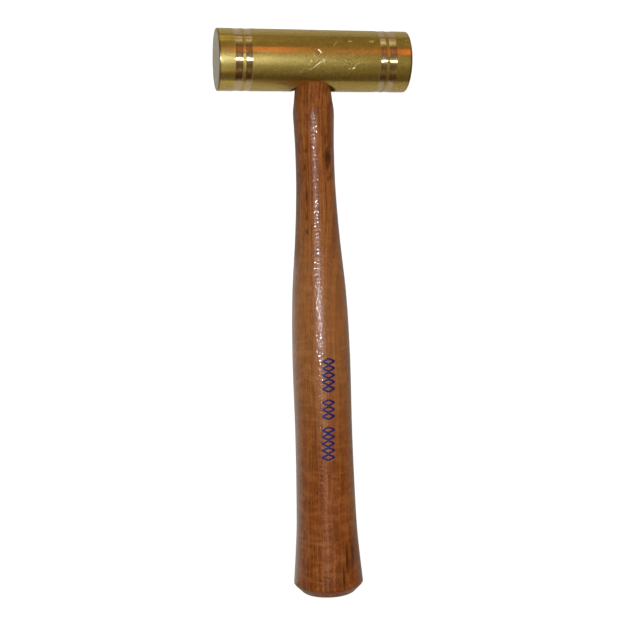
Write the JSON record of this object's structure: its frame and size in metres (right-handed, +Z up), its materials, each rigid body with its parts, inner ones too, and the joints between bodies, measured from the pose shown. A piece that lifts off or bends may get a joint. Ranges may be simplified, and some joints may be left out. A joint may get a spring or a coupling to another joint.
{
  "type": "brass mallet",
  "caption": "Two-faced mallet: a turned cylindrical brass head with shallow polished bands, on a turned hickory handle fixed by a cross pin and a wedge.",
  "frame": {"origin": "middle of the bounding box's base, on the surface that the mallet lies on, under the handle's axis", "axes": "+X along the head's axis from one striking face to the other, +Y from the butt to the head, +Z up out of the side that holds the cross pin's upper end"},
  "size_m": [0.1016, 0.2984, 0.0372],
  "materials": {
    "brass": "satin turned bar with polished bands, lightly scratched",
    "hickory": "reddish-brown stained hickory under gloss varnish",
    "steel": "plain steel, ground flush"
  },
  "bodies": {
    "root": {"brass_head": "brass", "hickory_handle": "hickory", "cross_pin": "brass", "steel_wedge": "steel"}
  },
  "joints": []
}
